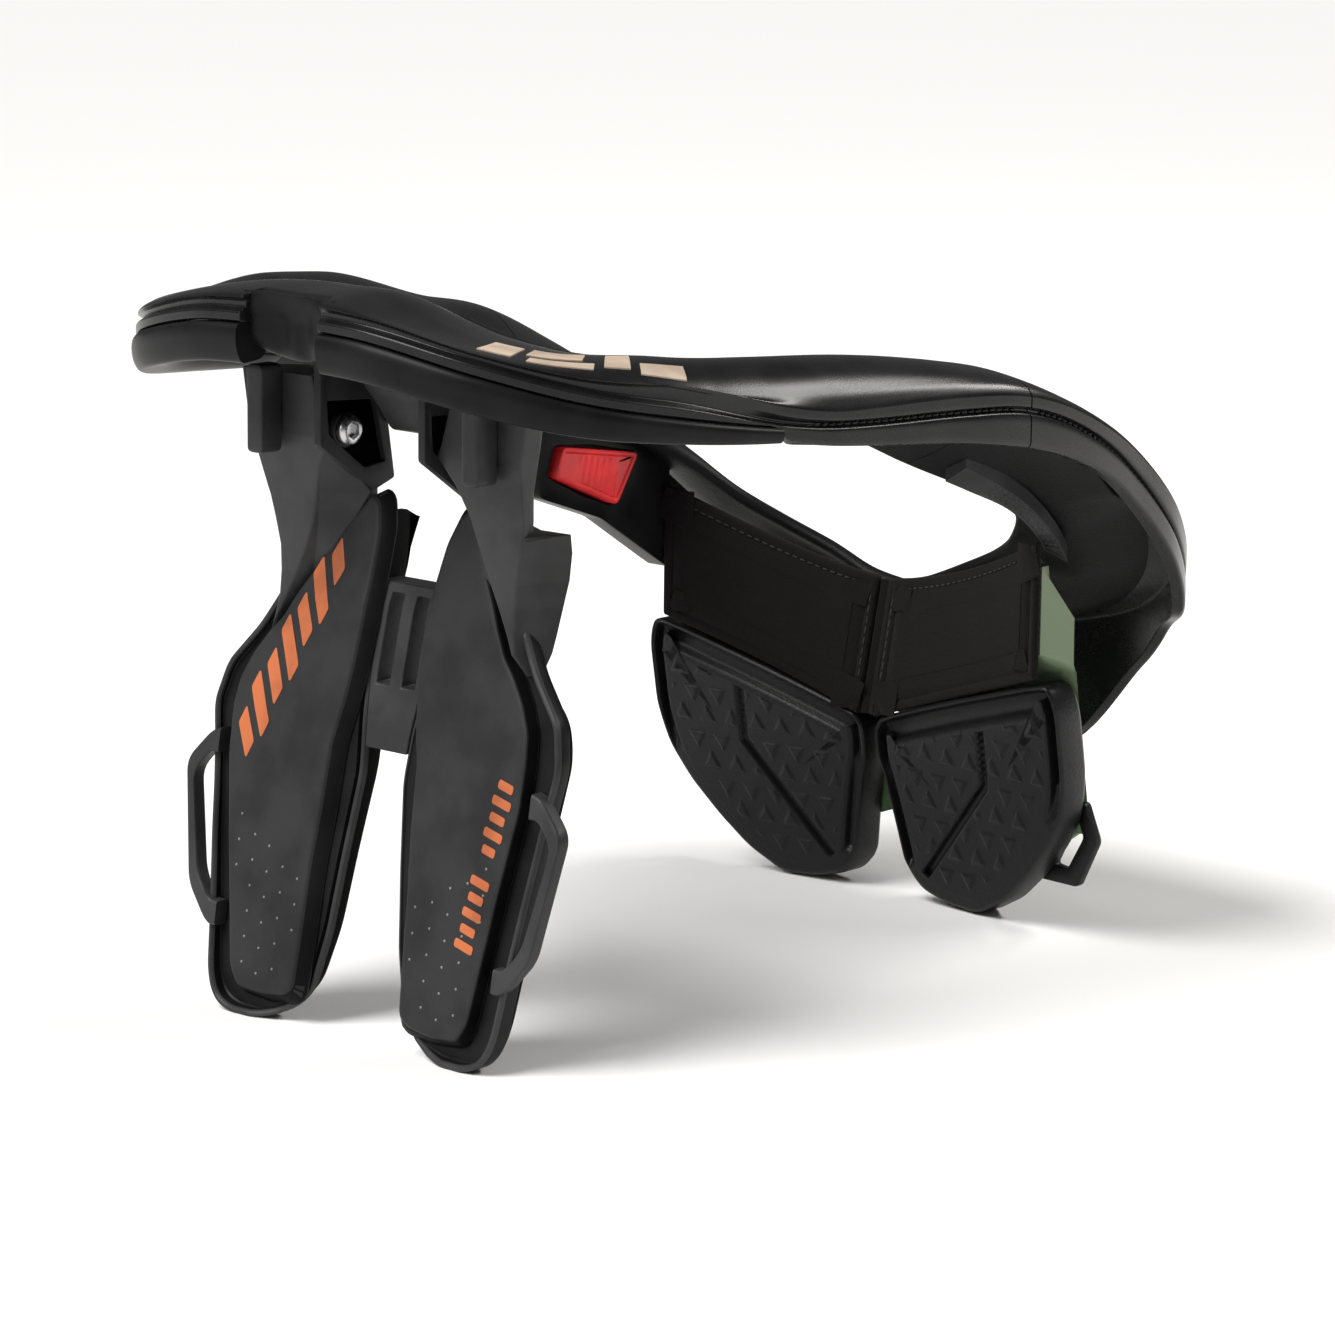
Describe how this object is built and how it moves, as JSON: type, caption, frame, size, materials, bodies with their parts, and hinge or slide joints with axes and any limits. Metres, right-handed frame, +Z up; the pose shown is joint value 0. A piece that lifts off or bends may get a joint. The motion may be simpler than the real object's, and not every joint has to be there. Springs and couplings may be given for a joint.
{
  "type": "motocross neck brace",
  "caption": "Padded collar that opens at the side, on two rear struts with bridge and strap loops, and a chest piece with padded feet.",
  "frame": {"origin": "on the surface it stands on, under the middle of the whole object's box", "axes": "+X to the wearer's front, +Y to the wearer's left, +Z up with the collar on top"},
  "size_m": [0.3464, 0.2622, 0.2381],
  "materials": {
    "satin_shell": "satin",
    "matt_pad": "matt",
    "strut_plastic": "satin",
    "foam_fabric": "matt knit over foam",
    "green_shell": "satin",
    "red_plastic": "satin",
    "steel": "brushed"
  },
  "bodies": {
    "rear": {"rear_collar_frame": "satin_shell", "rear_collar_pad": "matt_pad", "collar_rail_left": "satin_shell", "collar_rail_right": "satin_shell", "strut_arm_left": "strut_plastic", "strut_arm_right": "strut_plastic", "strut_cover_left": "strut_plastic", "strut_cover_right": "strut_plastic", "strut_clip_left": "strut_plastic", "strut_clip_right": "strut_plastic", "strut_bracket_left": "strut_plastic", "strut_bracket_right": "strut_plastic", "strut_screw_left": "steel", "strut_screw_right": "steel", "strut_carrier": "strut_plastic", "strut_bridge": "strut_plastic", "back_pad_left": "foam_fabric", "back_pad_right": "foam_fabric"},
    "front": {"front_collar_frame": "satin_shell", "front_collar_pad": "matt_pad", "chest_liner_left": "foam_fabric", "chest_liner_right": "foam_fabric", "chest_seam": "foam_fabric", "chest_petal_left": "matt_pad", "chest_petal_right": "matt_pad", "chest_shell_left": "green_shell", "chest_shell_right": "green_shell", "latch_holder": "satin_shell", "side_badge": "matt_pad"},
    "tab": {"release_tab": "red_plastic"}
  },
  "joints": [
    {"name": "collar_hinge", "type": "hinge", "parent": "rear", "child": "front", "pos_m": [0.03036, -0.1319, 0.19], "axis": [0, 0, -1], "range_deg": [0, 35]},
    {"name": "tab_release", "type": "hinge", "parent": "front", "child": "tab", "pos_m": [0.0815, 0.087, 0.146], "axis": [0, 0, 1], "range_deg": [0, 10]}
  ]
}
